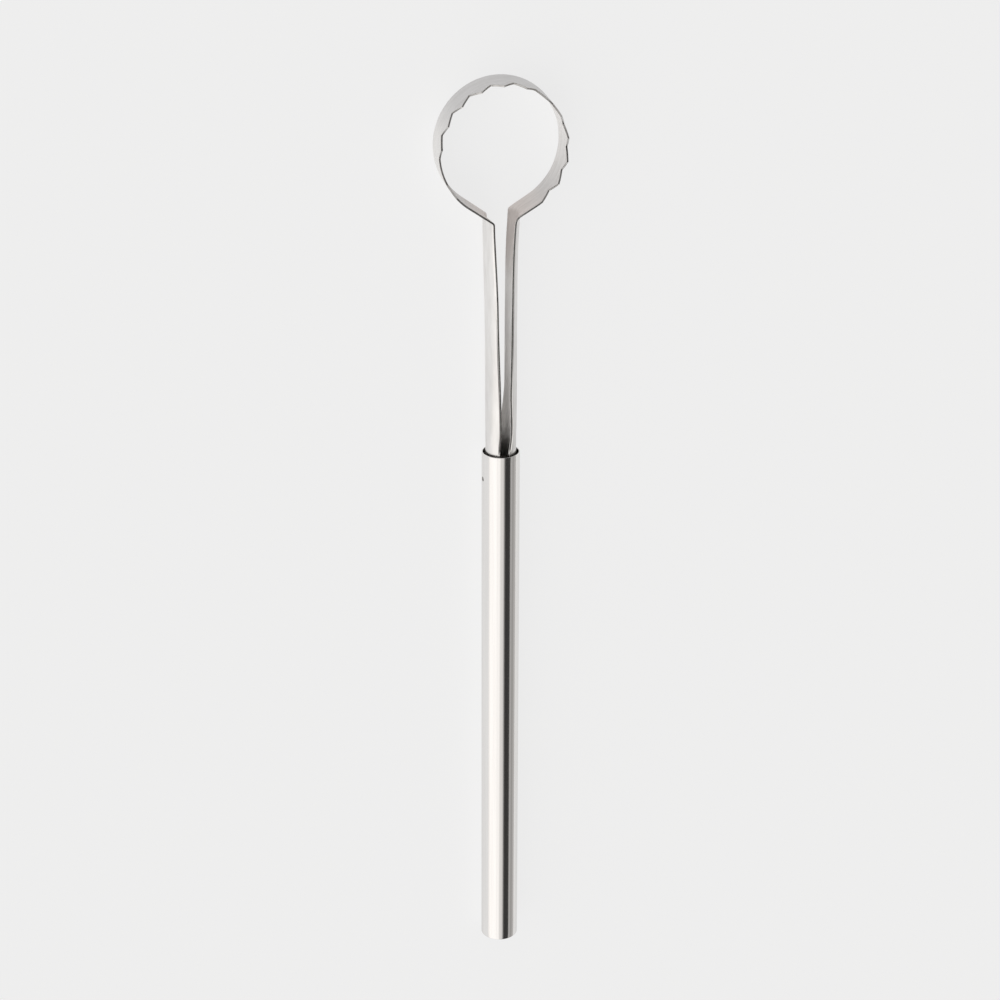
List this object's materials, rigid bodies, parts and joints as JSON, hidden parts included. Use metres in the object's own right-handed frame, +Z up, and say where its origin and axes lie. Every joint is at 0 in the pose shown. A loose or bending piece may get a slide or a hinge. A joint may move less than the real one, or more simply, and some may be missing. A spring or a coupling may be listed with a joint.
{
  "type": "serrated loop scraper",
  "caption": "Serrated loop scraper: a loop of formed steel strip with a toothed upper edge, on two gutter-shaped arms pinned into a round tube handle.",
  "frame": {"origin": "on the surface the tool lies on, below the middle of its outer box", "axes": "+Z up, the way the teeth point; +Y along the handle towards its plugged end, so the loop points towards -Y; +X across the tool"},
  "size_m": [0.0336, 0.2472, 0.0106],
  "materials": {
    "handle_steel": "mirror-polished stainless steel tube",
    "plug_steel": "turned stainless steel",
    "strip_steel": "bright-rolled stainless steel sheet, deburred edges",
    "pin_steel": "dull stainless steel"
  },
  "bodies": {
    "root": {"handle_tube": "handle_steel", "end_plug": "plug_steel", "loop_head": "strip_steel", "retaining_pin": "pin_steel"}
  },
  "joints": []
}
